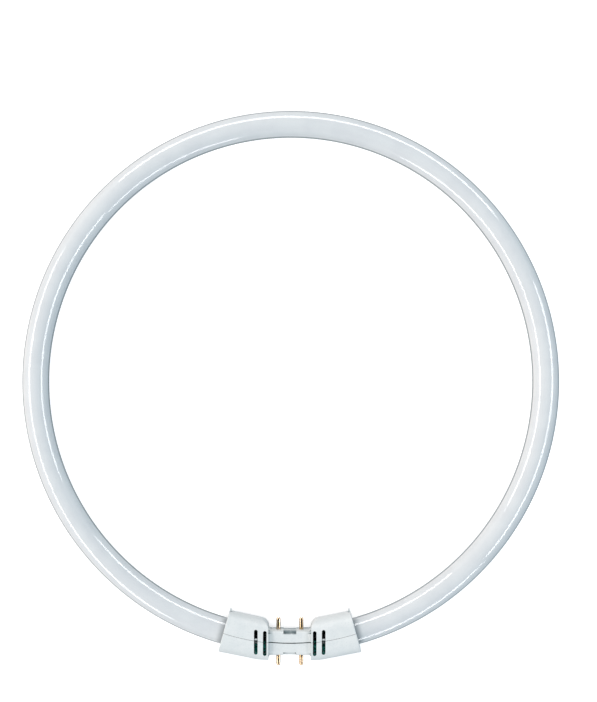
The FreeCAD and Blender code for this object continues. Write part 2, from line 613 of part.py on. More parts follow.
def parting_rod(doc, name, sign):
    """A rod whose round side is the parting surface, half a hairline in or out."""
    rod = doc.addObject("Part::Cylinder", name)
    bind(rod, Radius=f"Layout.parting_radius + {sign} * Sizes.parting_gap / 2",
         Height="2 * Sizes.cap_depth", Placement__Base__y="-Layout.parting_centre",
         Placement__Base__z="-Sizes.cap_depth")
    return rod


def latch_tongues(doc):
    """Four tongues of the inner shell that reach under the outer shell at the far openings."""
    body = new_body(doc, "latch_tongues")
    made = []
    for face, word in ((1, "front"), (-1, "back")):
        sketch = across_glass(body, f"{word}_tongue_section",
                              "Sizes.far_slot", "Layout.latch_out", "0")
        low = f"{face} * (Layout.latch_top - Sizes.latch_thickness)"
        high = f"{face} * Layout.latch_top"
        root = f"{face} * (Sizes.cap_depth - Sizes.shell_wall) / 2"
        corners = (("-Sizes.latch_reach", low), ("-Sizes.latch_reach", high),
                   ("Sizes.latch_stem", high), ("Sizes.latch_stem", root),
                   ("Sizes.latch_reach", root), ("Sizes.latch_reach", low))
        draw_outline(sketch, corners)
        made.append(pad_both_ways(body, f"{word}_tongue", sketch, "Sizes.latch_width"))
    mirror_across(body, "other_tongues", made)
    return body


def cap_shells(doc):
    """The two moulded halves of the cap, split along the middle of the glass."""
    pin_hole = "Sizes.pin_seat_diameter / 2 + Sizes.pin_clearance"
    behind = f"Layout.cap_out + Layout.pin_face + {OVERRUN}"
    through = f"Sizes.bridge_thickness + 2 * {OVERRUN}"
    open_parts = [cap_cavity(doc), bar_slit(doc),
                  glass_seat(doc, "right_glass_seat", 1), glass_seat(doc, "left_glass_seat", -1),
                  rod_along_y(doc, "right_pin_holes", pin_hole, "Layout.pin_x", behind, "0", through),
                  rod_along_y(doc, "left_pin_holes", pin_hole, "-Layout.pin_x", behind, "0", through)]
    for row, row_word in ((1, "inner"), (-1, "outer")):
        for face, face_word in ((1, "front"), (-1, "back")):
            open_parts.append(key_notch(doc, f"{row_word}_{face_word}_notch", row, face))
    hollow = combine(doc, "Cut", "hollow_block", cap_block(doc), fuse(doc, "open_parts", open_parts))
    inner_half = combine(doc, "Common", "inner_half", hollow, parting_rod(doc, "inner_parting", -1))
    outer_half = combine(doc, "Cut", "outer_half", hollow, parting_rod(doc, "outer_parting", 1))
    pegs, holes = locating_pegs(doc)
    latched = fuse(doc, "latched_half", [inner_half, latch_tongues(doc)])
    inner_shell = combine(doc, "Cut", "inner_cap_shell", latched, holes)
    outer_shell = fuse(doc, "outer_cap_shell", [outer_half, pegs])
    return [inner_shell, outer_shell]


def locating_pegs(doc):
    """Two pegs on the outer half of the bar, and the holes for them in the inner half."""
    root = "Layout.cap_out + Sizes.peg_length"
    pegs, holes = [], []
    for sign, word in ((1, "front"), (-1, "back")):
        z = f"{sign} * Sizes.peg_spacing / 2"
        pegs.append(rod_along_y(doc, f"{word}_peg", "Sizes.peg_diameter / 2", "0", root, z,
                                "2 * Sizes.peg_length"))
        holes.append(rod_along_y(
            doc, f"{word}_peg_hole", "Sizes.peg_diameter / 2 + Sizes.peg_clearance", "0",
            "Layout.cap_out", z, "Sizes.peg_length + 2 * Sizes.peg_clearance"))
    return fuse(doc, "pegs", pegs), fuse(doc, "peg_holes", holes)


def contact_pin(doc, side, row):
    """One turned contact: pointed pin, flange behind the shell's wall and crimped tail.
    Side is 1 on the right and -1 on the left, row is 1 for the inner face, -1 for the outer."""
    body = new_body(doc, f"contact_pin_{ROW_WORDS[row]}_{SIDE_WORDS[side]}")
    bind(body, Placement__Base__x=f"{side} * Layout.pin_x",
         Placement__Base__y=f"-(Layout.cap_out - {row} * Layout.pin_face)")
    body.Placement.Rotation = FreeCAD.Rotation(FreeCAD.Vector(0, 0, 1), 0 if row > 0 else 180)
    radius = "Sizes.pin_diameter / 2"
    point = (f"({radius} - Sizes.pin_curve"
             " + sqrt(Sizes.pin_curve ^ 2 - Sizes.pin_taper ^ 2))")
    taper = "(Sizes.pin_length - Sizes.pin_taper)"
    flange = "-(Sizes.shell_wall)"
    tail = "-(Sizes.shell_wall + Sizes.flange_thickness)"
    end = "-(Sizes.shell_wall + Sizes.flange_thickness + Sizes.tail_length)"
    seat = f"({end} + Sizes.lead_seat + Sizes.lead_clearance)"
    bore = "(Sizes.lead_diameter / 2 + Sizes.lead_clearance)"
    root = "Sizes.pin_seat_diameter / 2"
    profile = plane_sketch(body, "pin_profile", "XY_Plane")
    draw_outline(profile, (
        (radius, taper, f"({radius} - Sizes.pin_curve)", taper, 1), (point, "Sizes.pin_length"),
        ("0", "Sizes.pin_length"), ("0", seat), (bore, seat), (bore, end), (radius, end),
        (radius, tail), ("Sizes.flange_diameter / 2", tail), ("Sizes.flange_diameter / 2", flange),
        (root, flange), (root, "0"), (radius, "0")))
    turned = feature(body, "Revolution", "turned_pin", profile, Angle=360)
    turned.ReferenceAxis = (profile, ["V_Axis"])
    return body


def lead_wire(doc, side, row):
    """One lead wire, from a sealed end of the glass to the tail of a contact pin."""
    body = new_body(doc, f"lead_wire_{ROW_WORDS[row]}_{SIDE_WORDS[side]}")
    bind(body, Placement__Base__y="-Layout.cap_out")
    start_x = (f"(Layout.end_x - {row} * Sizes.lead_offset * sin(Layout.end_turn)"
               " - Sizes.lead_standoff * cos(Layout.end_turn))")
    start_y = ("(Layout.cap_out - Layout.end_out"
               f" + {row} * Sizes.lead_offset * cos(Layout.end_turn)"
               " - Sizes.lead_standoff * sin(Layout.end_turn))")
    bend_x = "(Layout.pin_x + Sizes.lead_bend)"
    bend_y = f"{row} * (Layout.tail_end - Sizes.lead_straight)"
    seat_y = f"{row} * (Layout.tail_end + Sizes.lead_seat)"
    spine = plane_sketch(body, "wire_route", "XY_Plane")
    draw_bent_route(spine, side, row, (start_x, start_y), (bend_x, bend_y), seat_y)
    doc.recompute()
    section = body.newObject("Sketcher::SketchObject", "wire_section")
    section.AttachmentSupport = [(spine, "Edge1")]
    section.MapMode = "NormalToEdge"
    draw_circle(section, "Sizes.lead_diameter / 2")
    wire = feature(body, "AdditivePipe", "wire", section)
    wire.Spine = (spine, ["Edge1", "Edge2", "Edge3"])
    return body


def draw_bent_route(sketch, side, row, start, centre, seat_y):
    """A straight run, a bend and a short straight run that ends on the pin's axis."""
    doc = sketch.Document
    bend = value(doc, "Sizes.lead_bend")
    middle = FreeCAD.Vector(side * value(doc, centre[0]), value(doc, centre[1]))
    first = FreeCAD.Vector(side * value(doc, start[0]), value(doc, start[1]))
    last = FreeCAD.Vector(side * value(doc, "Layout.pin_x"), value(doc, seat_y))
    leave = FreeCAD.Vector(last.x, middle.y)
    reach = first - middle
    swing = math.acos(bend / reach.Length)
    turn = math.atan2(reach.y, reach.x) - side * row * swing
    touch = middle + FreeCAD.Vector(bend * math.cos(turn), bend * math.sin(turn))
    run = sketch.addGeometry(Part.LineSegment(first, touch), False)
    circle = Part.Circle(middle, FreeCAD.Vector(0, 0, 1), bend)
    leave_turn = math.pi if side > 0 else 0.0
    angles = (turn, leave_turn) if side * row < 0 else (leave_turn, turn)
    if angles[1] < angles[0]:
        angles = (angles[0], angles[1] + 2 * math.pi)
    arc = sketch.addGeometry(Part.ArcOfCircle(circle, *angles), False)
    into, out_of = (1, 2) if side * row < 0 else (2, 1)
    seat = sketch.addGeometry(Part.LineSegment(leave, last), False)
    sketch.addConstraint(Sketcher.Constraint("Tangent", run, 2, arc, into))
    sketch.addConstraint(Sketcher.Constraint("Tangent", arc, out_of, seat, 1))
    pin_point(sketch, run, 1, f"{side} * {start[0]}", start[1])
    pin_point(sketch, arc, 3, f"{side} * {centre[0]}", centre[1])
    hold_radius(sketch, arc, "Sizes.lead_bend")
    pin_point(sketch, seat, 2, f"{side} * Layout.pin_x", seat_y)


def check_document(doc):
    """Stops if a feature failed, because a failed feature raises nothing by itself."""
    for thing in doc.Objects:
        if "Invalid" in thing.State or "Error" in thing.State:
            raise RuntimeError(f"{thing.Label} failed: {thing.State}")


def write_parts(pieces):
    os.makedirs("parts", exist_ok=True)
    for piece in pieces:
        shape = piece.Shape
        if shape.isNull() or not shape.isValid():
            raise RuntimeError(f"{piece.Label} has no valid shape")
        shape.exportStep(f"parts/{piece.Label}.step")
        print(f"{piece.Label}: {len(shape.Solids)} solid, {shape.Volume:.1f} mm3")


def main():
    doc = FreeCAD.newDocument("ring_lamp")
    fill_sheet(doc, "Sizes", DRIVING_SIZES)
    fill_sheet(doc, "Layout", LAYOUT)
    pieces = [glass_tube(doc)] + cap_shells(doc)
    for side in SIDE_WORDS:
        for row in ROW_WORDS:
            pieces += [contact_pin(doc, side, row), lead_wire(doc, side, row)]
    doc.recompute()
    check_document(doc)
    write_parts(pieces)


main()
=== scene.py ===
"""Dresses the ring lamp: its coated glass, the moulded cap, the contact pins and the studio.

Everything is in metres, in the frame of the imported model: the ring lies flat, +Z runs along
its axis, the cap is on the -Y side and the origin is the centre of the crown arc.
"""
import math

import bmesh
import bpy
from bpy.props import FloatProperty, FloatVectorProperty, IntProperty, PointerProperty
from mathutils import Matrix, Vector


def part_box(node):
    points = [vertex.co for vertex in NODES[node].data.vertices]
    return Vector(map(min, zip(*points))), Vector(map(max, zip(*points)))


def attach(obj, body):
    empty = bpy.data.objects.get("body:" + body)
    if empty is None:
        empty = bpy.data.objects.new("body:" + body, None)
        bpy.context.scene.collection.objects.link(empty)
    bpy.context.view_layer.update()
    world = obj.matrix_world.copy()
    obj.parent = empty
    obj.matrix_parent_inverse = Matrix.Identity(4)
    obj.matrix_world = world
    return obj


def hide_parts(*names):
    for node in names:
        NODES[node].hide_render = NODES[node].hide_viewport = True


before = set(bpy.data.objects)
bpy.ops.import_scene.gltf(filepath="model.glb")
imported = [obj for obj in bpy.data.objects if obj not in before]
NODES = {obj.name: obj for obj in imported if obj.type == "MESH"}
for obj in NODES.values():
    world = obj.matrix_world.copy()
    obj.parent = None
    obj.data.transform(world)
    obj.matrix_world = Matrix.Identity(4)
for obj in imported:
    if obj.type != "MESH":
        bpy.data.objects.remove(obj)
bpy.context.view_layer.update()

bl_info = {
    "name": "Ring Lamp",
    "version": (1, 0, 0),
    "blender": (4, 5, 0),
    "location": "View3D > Sidebar > Ring Lamp",
    "description": "Glass, cap, pins and studio of a slim ring-shaped fluorescent lamp",
    "category": "Object",
}

GLASS_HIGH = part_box("glass_tube")[1]
TUBE_RADIUS = GLASS_HIGH.z
CROWN_RADIUS = GLASS_HIGH.y - TUBE_RADIUS

# The side arcs of the glass are a little wider than the crown arc and have centres of their own.
# The mouth of a collar crosses them at its turn from the middle of the cap.
SIDE_RADIUS = CROWN_RADIUS + 0.0029
CROWN_HALF_ANGLE = math.radians(50)
SIDE_CENTRE = Vector((math.sin(CROWN_HALF_ANGLE), math.cos(CROWN_HALF_ANGLE))) * (
    CROWN_RADIUS - SIDE_RADIUS)
MOUTH_TURN = math.radians(15.66)

# The bar of the cap, with its key notches, which reach in from both broad faces.
CAP_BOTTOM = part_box("outer_cap_shell")[0].z
PIN_LENGTH = 0.0068
PIN_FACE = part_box("contact_pin_inner_right")[1].y - PIN_LENGTH
BAR_THICKNESS = 0.0133
BAR_MIDDLE = PIN_FACE - BAR_THICKNESS / 2
NOTCH_FLOOR = 0.0050

# Rings of faces on the rounded ends of the glass, and the root of an exhaust tip: where it
# starts to widen and how wide it ends, both in tip radii.
TIP_RINGS = 4
END_RINGS = 8
ROOT_START = 0.35
ROOT_RADIUS = 1.25

# Where a finish fades in: none of it at the first place and all of it at the second. Places
# along X, and along Z unless a name says FROM_FRONT, count to both sides of the middle. Most of
# them bound painted shade on the cap and the glass and the painted glow inside the outer half.
COLLAR_X = (0.0128, 0.0132)
BAR_END_X = (0.0084, 0.0108)
SHOULDER_X = (0.0122, 0.0118)
FACE_X = (0.0120, 0.0105)
NOTCH_X = (0.0038, 0.0034)
FACE_Y = (PIN_FACE - 0.0009, PIN_FACE - 0.0003)
NOTCH_Y = (PIN_FACE - 0.0019, PIN_FACE - 0.0015)
OUTER_CORNER_Y = (BAR_MIDDLE - 0.0048, BAR_MIDDLE - 0.0041)
GLOW_NEAR_Y = (BAR_MIDDLE - 0.0010, BAR_MIDDLE - 0.0019)
GLOW_FAR_Y = (BAR_MIDDLE - 0.0076, BAR_MIDDLE - 0.0064)
# The painted edge shade of the glass fades in between these heights over the middle plane.
EDGE_SHADE_Z = (0.56 * TUBE_RADIUS, 0.40 * TUBE_RADIUS)
BROAD_FACE_Z = (0.0070, 0.0080)
NOTCH_Z = (NOTCH_FLOOR - 0.0004, NOTCH_FLOOR)
NOTCH_FROM_FRONT = (NOTCH_FLOOR, 0.0)
FACE_FROM_FRONT = (0.0010, -0.0055)

# Sockets of a Mix node, by number: the factor, the two inputs and the result.
MIX_SOCKETS = {"RGBA": (0, 6, 7, 2), "FLOAT": (0, 2, 3, 0)}

# Light of the sky in reflections, from straight below (0) to straight above (1).
SKY_CURVE = ((0.0, 1.0), (0.10, 0.95), (0.25, 0.85), (0.45, 0.45), (0.55, 0.45), (0.65, 0.55),
             (0.79, 0.55), (0.83, 0.02), (1.0, 0.02))

# Soft boxes: the directions of both ends as azimuth and tilt in degrees, and the width.
SOFT_BOXES = (
    ("box_far_right", (38, 66), (88, 65), 0.50),
    ("box_far_left", (88, 65), (132, 61), 0.50),
    ("box_left", (153, 60), (205, 51), 0.42),
    ("box_near_left", (205, 51), (242, 71), 0.40),
    ("box_near_right", (282, 80), (316, 66), 0.38),
    ("box_right", (318, 53), (20, 62), 0.48),
)


def length(name, description, default):
    """A property for a length in metres."""
    return FloatProperty(name=name, description=description, default=default, min=0.0,
                         subtype="DISTANCE", unit="LENGTH", precision=5)


def angle(name, description, degrees):
    """A property for an angle."""
    return FloatProperty(name=name, description=description, default=math.radians(degrees),
                         subtype="ANGLE", unit="ROTATION")


def share(name, description, default, high=1.0):
    """A property for a share between nothing and all, or a plain strength."""
    return FloatProperty(name=name, description=description, default=default, min=0.0, max=high)


def tint(name, description, default):
    """A property for a colour, as linear light."""
    return FloatVectorProperty(name=name, description=description, default=default, size=3,
                               min=0.0, max=1.0, subtype="COLOR")


class GlassSettings(bpy.types.PropertyGroup):
    """Sizes and colours of the coated glass."""
    end_angle: angle("End angle", "Sealed end, from the middle of the cap", 9.9)
    end_round: length("End rounding", "Rounding of each sealed end", 0.0045)
    tip_radius: length("Tip radius", "Exhaust tip on each sealed end", 0.002)
    tip_length: length("Tip length", "Exhaust tip beyond the sealed end", 0.007)
    around: IntProperty(name="Around", description="Faces round the glass", default=64, min=12)
    step: angle("Step", "Length of a face along the ring", 0.6)
    coating: tint("Coating", "Powder coating seen through the glass", (0.715, 0.74, 0.76))
    coating_thick: tint("Thick coating", "The same coating where it lies thicker",
                        (0.75, 0.775, 0.79))
    cloud_size: length("Cloud size", "Size of the patches where it lies thicker", 0.012)
    powder: tint("Powder", "Paler grains of the coating", (0.88, 0.90, 0.92))
    powder_size: length("Powder size", "Size of those grains", 0.0007)
    powder_share: share("Powder share", "How much paler those grains are", 0.12)
    # Painted shade: the dark edges where the glass is seen edge-on, standing in for dark
    # reflections at grazing angles.
    edge_shade: tint("Rim", "The coating seen through the thickness of the glass", (0.12, 0.165, 0.18))
    # Painted shade: the coating next to each mouth is darkened for the cap's shadow and
    # reflection, and inside the mouths it is painted near black.
    end_shade: tint("End shade", "The coating close to the cap", (0.40, 0.43, 0.45))
    end_length: length("End length", "Reach of that shade along the glass", 0.0042)
    mouth_shade: tint("Mouth shade", "The coating inside the mouths of the collars",
                      (0.03, 0.04, 0.045))


class CapSettings(bpy.types.PropertyGroup):
    """Colours and grain of the moulded cap."""
    plastic: tint("Plastic", "Moulded plastic", (0.745, 0.78, 0.785))
    plastic_light: tint("Light plastic", "The same plastic where it is paler",
                        (0.80, 0.825, 0.825))
    cloud_size: length("Cloud size", "Size of the paler patches", 0.005)
    speck: tint("Specks", "Darker specks in the plastic", (0.54, 0.60, 0.61))
    speck_size: length("Speck size", "Size of those specks", 0.00084)
    speck_share: share("Speck share", "How much darker those specks are", 0.22)
    grain: length("Grain", "Size of the moulded grain", 0.00035)
    grain_height: length("Grain height", "Height of that grain", 0.00003)
    roughness: share("Roughness", "Roughness of the plastic", 0.48)
    # Painted shade: the grey given to corners, recesses and the hollow ends of the bar.
    corner_shade: tint("Recess", "The same plastic in recesses and corners", (0.30, 0.36, 0.37))
    corner_reach: length("Corner reach", "How far a corner darkens the plastic", 0.005)
    corner_share: share("Corner share", "How much a corner darkens it", 0.8)
    hollow_shade_share: share("Hollow share", "The same at the ends of the bar's broad faces", 0.22)
    # Painted shade: the near black of the plastic deep inside the cap and behind its openings.
    dark: tint("Dark", "The plastic deep inside the cap", (0.001, 0.0025, 0.0025))
    dark_reach: length("Dark reach", "How near the walls of a dark inside are", 0.016)
    collar_share: share("Collar share", "How much more shut in the collars count as", 0.12)
    # Painted light: an emission that stands in for light coming through the outer half's wall.
    leak: tint("Leak", "Light that the outer half's wall lets through to its inside",
               (0.006, 0.075, 0.062))
    leak_size: length("Leak size", "Size of the patches of that light", 0.0014)
    leak_share: share("Leak share", "That light between the patches", 0.12)
    # Painted shade: the streaky grey of the bar's side between the inner pins and of the key
    # notches.
    face: tint("Pin face", "The plastic between the inner pins", (0.22, 0.28, 0.30))
    streak_size: length("Streak size", "Width of the streaks in that plastic", 0.0020)
    notch_shade_share: share("Notch share", "The same colour in the key notches", 0.75)


class PinSettings(bpy.types.PropertyGroup):
    """Colours and turning marks of the contact pins."""
    brass: tint("Brass", "Contact pins", (0.66, 0.50, 0.36))
    brass_dark: tint("Dark brass", "Contact pins where they have dulled", (0.56, 0.39, 0.19))
    patch_size: length("Patch size", "Size of the dulled patches", 0.0018)
    mark: length("Turning mark", "Distance between turning marks", 0.00018)
    mark_height: length("Mark height", "Height of those marks", 0.000002)
    roughness: share("Roughness", "Roughness of the bright brass", 0.077)
    roughness_dull: share("Dull roughness", "Roughness of the dulled patches", 0.108)


class WireSettings(bpy.types.PropertyGroup):
    """Colours and drawing lines of the lead wires."""
    wire: tint("Wire", "Lead wires", (0.56, 0.55, 0.52))
    wire_dark: tint("Dark wire", "Lead wires where they have dulled", (0.40, 0.39, 0.37))
    patch_size: length("Patch size", "Size of the dulled patches", 0.0008)
    line: length("Drawing line", "Distance between drawing lines", 0.0002)
    line_height: length("Line height", "Height of those lines", 0.00001)
    roughness: share("Roughness", "Roughness of the bright wire", 0.286)
    roughness_dull: share("Dull roughness", "Roughness of the dulled patches", 0.571)


class StageSettings(bpy.types.PropertyGroup):
    """The camera, the floor and the lights."""
    centre: FloatVectorProperty(
        name="Centre", description="Point under the camera", default=(0.00428, 0.01509, 0.0),
        size=3, subtype="TRANSLATION", unit="LENGTH")
    distance: length("Distance", "Camera above the middle of the glass", 1.08)
    field: length("Field", "Height of the picture at the middle of the glass", 0.3909)
    roll: angle("Roll", "Turn of the camera about its own axis", 0.2)
    floor_size: length("Floor", "Side of the floor", 6.0)
    floor_drop: length("Floor drop", "Gap between the cap and the floor", 0.0002)
    floor_tint: tint("Floor tint", "Pale floor", (0.93, 0.93, 0.93))
    floor_pale: tint("Pale patches", "The floor where it is paler", (0.95, 0.95, 0.95))
    floor_patch: length("Patch size", "Size of those patches", 0.4)
    floor_glow: share("Floor glow", "Light that the floor adds by itself", 0.55, 10.0)
    sky: share("Sky", "Strength of the soft light from all round", 1.56, 10.0)
    sky_strong: tint("Strong side", "That light on the side that it mostly comes from",
                     (1.0, 0.95, 0.92))
    sky_weak: tint("Weak side", "That light on the other side", (0.282, 0.375, 0.435))
    sky_turn: angle("Sky turn", "Direction of the strong side, from +X", 165)
    sky_below: share("Sky below", "Share of that light that also comes from below", 0.50)
    sky_edge: share("Sky edge", "How far round the horizon the light changes to that share", 0.2)
    box_light: share("Box light", "Brightness of the soft boxes", 8.5, 100.0)
    box_distance: length("Box distance", "From the ring's centre to the soft boxes", 2.2)


class LampSettings(bpy.types.PropertyGroup):
    """Everything that a user would change."""
    glass: PointerProperty(type=GlassSettings, name="Glass", description="The coated glass")
    cap: PointerProperty(type=CapSettings, name="Cap", description="The moulded cap")
    pins: PointerProperty(type=PinSettings, name="Pins", description="The contact pins")
    wires: PointerProperty(type=WireSettings, name="Wires", description="The lead wires")
    stage: PointerProperty(type=StageSettings, name="Stage", description="Camera and lights")


class Graph:
    """A node tree that is filled with one node after another, left to right."""

    def __init__(self, tree):
        self.tree = tree

    def fill(self, socket, setting):
        """Joins a socket to another node's output, or gives it a number, vector or colour."""
        if isinstance(setting, bpy.types.NodeSocket):
            self.tree.links.new(setting, socket)
        elif socket.type == "RGBA":
            socket.default_value = (*setting, 1.0)
        else:
            socket.default_value = setting

    def set(self, node, sockets):
        """Fills a node's sockets by name."""
        for name, setting in sockets.items():
            self.fill(node.inputs[name], setting)

    def add(self, kind, sockets, **settings):
        """A new node with its settings made and its sockets filled."""
        node = self.tree.nodes.new(kind)
        for name, setting in settings.items():
            setattr(node, name, setting)
        self.set(node, sockets)
        return node

    def math(self, operation, first, second=0.0):
        """The result of one sum on one or two numbers."""
        node = self.add("ShaderNodeMath", {}, operation=operation)
        for socket, setting in zip(node.inputs, (first, second)):
            self.fill(socket, setting)
        return node.outputs[0]

    def times(self, first, *others):
        """The product of masks and shares."""
        for other in others:
            first = self.math("MULTIPLY", first, other)
        return first

    def mix(self, fac, first, second, kind="RGBA"):
        """One colour, or one number if the kind is FLOAT, where fac is 0 and the other where
        it is 1."""
        node = self.add("ShaderNodeMix", {}, data_type=kind)
        *places, result = MIX_SOCKETS[kind]
        for place, setting in zip(places, (fac, first, second)):
            self.fill(node.inputs[place], setting)
        return node.outputs[result]

    def ramp(self, fac, low, high, smooth=True):
        """0 where fac is at low or short of it, 1 where it is at high or past it."""
        kind = "SMOOTHSTEP" if smooth else "LINEAR"
        return self.add("ShaderNodeMapRange", {"Value": fac, "From Min": low, "From Max": high},
                        interpolation_type=kind).outputs["Result"]

    def between(self, fac, first, second):
        """The first number where fac is 0, the second where it is 1."""
        return self.add("ShaderNodeMapRange", {
            "Value": fac, "To Min": first, "To Max": second}).outputs["Result"]


class Finish(Graph):
    """A material with its shader, and the patterns that its colours are made of."""

    def __init__(self, name, sockets):
        self.material = bpy.data.materials.new(name)
        self.material.use_nodes = True
        super().__init__(self.material.node_tree)
        self.shader = self.tree.nodes["Principled BSDF"]
        self.set(self.shader, sockets)

    def place(self):
        """The point on the surface, in metres."""
        return self.add("ShaderNodeTexCoord", {}).outputs["Object"]

    def coordinate(self, axis):
        """How far along X, Y or Z that point is."""
        return self.add("ShaderNodeSeparateXYZ", {"Vector": self.place()}).outputs[axis]

    def offset(self, axis):
        """The same, counted to both sides."""
        return self.math("ABSOLUTE", self.coordinate(axis))

    def noise(self, size, detail=2.0, roughness=0.5, stretch=None):
        """Cloudy noise whose lumps are about the given size in metres."""
        where = self.place()
        if stretch:
            where = self.add("ShaderNodeMapping", {"Vector": where, "Scale": stretch},
                             vector_type="POINT").outputs["Vector"]
        return self.add("ShaderNodeTexNoise", {
            "Vector": where, "Scale": 1.0 / size, "Detail": detail, "Roughness": roughness,
        }).outputs["Fac"]

    def openness(self, reach, samples):
        """1 where nothing stands round the point up to that reach, 0 where all is shut in."""
        return self.add("ShaderNodeAmbientOcclusion", {"Distance": reach},
                        samples=samples).outputs["AO"]

    def bump(self, height, distance, strength=1.0):
        """Bump on the shader's normal, with the height's full range in metres."""
        node = self.add("ShaderNodeBump", {
            "Height": height, "Distance": distance, "Strength": strength})
        self.set(self.shader, {"Normal": node.outputs["Normal"]})


def give_finish(thing, material):
    """Shows an object in one material, through its own slots."""
    if not thing.material_slots:
        thing.data.materials.append(material)
    for slot in thing.material_slots:
        slot.link = "OBJECT"
        slot.material = material


def new_piece(name, mesh):
    """An object on the lamp's one body."""
    thing = bpy.data.objects.new(name, mesh)
    bpy.context.scene.collection.objects.link(thing)
    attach(thing, "root")
    return thing


def ring_point(turn):
    """The centre line of the glass at an angle from the middle of the cap, with the direction
    along the glass and the direction out of the ring."""
    direction = Vector((math.cos(turn), math.sin(turn)))
    outward = Vector((math.sin(turn), -math.cos(turn)))
    if turn <= math.pi - CROWN_HALF_ANGLE:
        return SIDE_CENTRE + SIDE_RADIUS * outward, direction, outward
    return CROWN_RADIUS * outward, direction, outward


def quarter_turn(steps):
    """Angles from 0 to a quarter turn."""
    return [number / steps * math.pi / 2 for number in range(steps + 1)]


def half_glass(settings):
    """Rings of the right half of the glass: centre, direction out of the ring, radius."""
    start, direction, outward = ring_point(settings.end_angle)
    tip = settings.tip_radius
    rings = []
    for swing in quarter_turn(TIP_RINGS):
        back = settings.tip_length - tip * (1 - math.cos(swing))
        rings.append((start - back * direction, outward, tip * math.sin(swing)))
    rings.append((start - ROOT_START * tip * direction, outward, tip))
    rings.append((start, outward, ROOT_RADIUS * tip))
    for swing in quarter_turn(END_RINGS):
        deep = settings.end_round * (1 - math.cos(swing))
        radius = TUBE_RADIUS - settings.end_round * (1 - math.sin(swing))
        turn = settings.end_angle + deep / SIDE_RADIUS
        point, _, outward = ring_point(turn)
        rings.append((point, outward, radius))
    count = math.ceil((math.pi - turn) / settings.step)
    for number in range(1, count + 1):
        point, _, outward = ring_point(turn + (math.pi - turn) * number / count)
        rings.append((point, outward, TUBE_RADIUS))
    return rings


def loop_of_points(work, point, outward, radius, around):
    """A ring as points, or the one point where its radius is 0."""
    if radius == 0.0:
        return [work.verts.new((*point, 0.0))]
    loop = []
    for number in range(around):
        swing = 2 * math.pi * number / around
        offset = point + outward * radius * math.cos(swing)
        loop.append(work.verts.new((*offset, radius * math.sin(swing))))
    return loop


def join_loops(work, first, second):
    """Faces between two loops of points, either of which may be a single point."""
    count = max(len(first), len(second))
    for number in range(count):
        following = (number + 1) % count
        corners = [first[number % len(first)], first[following % len(first)],
                   second[following % len(second)], second[number % len(second)]]
        work.faces.new(list(dict.fromkeys(corners)))


def glass_mesh(settings):
    """One closed surface: tip, sealed end, the whole ring, sealed end, tip."""
    right = half_glass(settings)
    left = [(Vector((-point.x, point.y)), Vector((-outward.x, outward.y)), radius)
            for point, outward, radius in reversed(right[:-1])]
    work = bmesh.new()
    loops = [loop_of_points(work, *ring, settings.around) for ring in right + left]
    for first, second in zip(loops, loops[1:]):
        join_loops(work, first, second)
    for face in work.faces:
        face.smooth = True
    bmesh.ops.recalc_face_normals(work, faces=work.faces)
    mesh = bpy.data.meshes.new("coated_glass")
    work.to_mesh(mesh)
    work.free()
    return mesh


def past_mouth(finish, lead, reach):
    """0 up to a collar's mouth and 1 at the given reach along the glass, on both sides. The
    lead moves that stretch away from the cap."""
    cos, sin = math.cos(MOUTH_TURN), math.sin(MOUTH_TURN)
    mouth_x = SIDE_RADIUS * sin + SIDE_CENTRE.x
    mouth_y = SIDE_CENTRE.y - SIDE_RADIUS * cos
    along = finish.math("ADD", finish.times(finish.offset("X"), cos),
                        finish.times(finish.coordinate("Y"), sin))
    start = mouth_x * cos + mouth_y * sin + lead
    return finish.ramp(along, start, start + reach)


def glass_finish(settings):
    """White powder coating behind clear glass: matt colour under a sharp clear coat, with
    painted shade at its edge-on sides, next to the mouths of the collars and inside them.
    """
    finish = Finish("coated_glass", {
        "Roughness": 0.6, "IOR": 1.45, "Specular IOR Level": 0.2,
        "Coat Weight": 1.0, "Coat Roughness": 0.02, "Coat IOR": 1.52})
    cloud = finish.ramp(finish.noise(settings.cloud_size, detail=4.0), 0.35, 0.65)
    coating = finish.mix(cloud, settings.coating, settings.coating_thick)
    powder = finish.ramp(finish.noise(settings.powder_size), 0.3, 0.8)
    coating = finish.mix(finish.times(powder, settings.powder_share), coating, settings.powder)
    # Painted shade: the coating is darkened where the glass is seen edge-on at its sides,
    # standing in for dark reflections there.
    edge_on = finish.add("ShaderNodeLayerWeight", {"Blend": 0.5}).outputs["Facing"]
    edge_shade = finish.times(finish.ramp(edge_on, 0.50, 0.64), finish.ramp(finish.offset("Z"), *EDGE_SHADE_Z))
    coating = finish.mix(edge_shade, coating, settings.edge_shade)
    # Painted shade: darker coating next to the mouths and near black inside them.
    for lead, shade in ((0.0, settings.end_shade), (-settings.end_length, settings.mouth_shade)):
        coating = finish.mix(past_mouth(finish, lead, settings.end_length), shade, coating)
    finish.set(finish.shader, {"Base Color": coating})
    return finish.material


class LAMP_OT_glass(bpy.types.Operator):
    """Builds the glass as one smooth surface and gives it its coating"""
    bl_idname = "lamp.glass"
    bl_label = "Coated glass"

    def execute(self, context):
        settings = context.scene.ring_lamp.glass
        glass = new_piece("coated_glass", glass_mesh(settings))
        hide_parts("glass_tube")
        give_finish(glass, glass_finish(settings))
        return {"FINISHED"}


def hollow_ends(finish):
    """1 in the hollow corners at the two ends of the bar's broad faces, where painted shade
    greys the plastic, 0 elsewhere.
    """
    across = finish.offset("X")
    return finish.times(finish.ramp(across, *BAR_END_X), finish.ramp(across, *SHOULDER_X),
                        finish.ramp(finish.offset("Z"), *BROAD_FACE_Z))


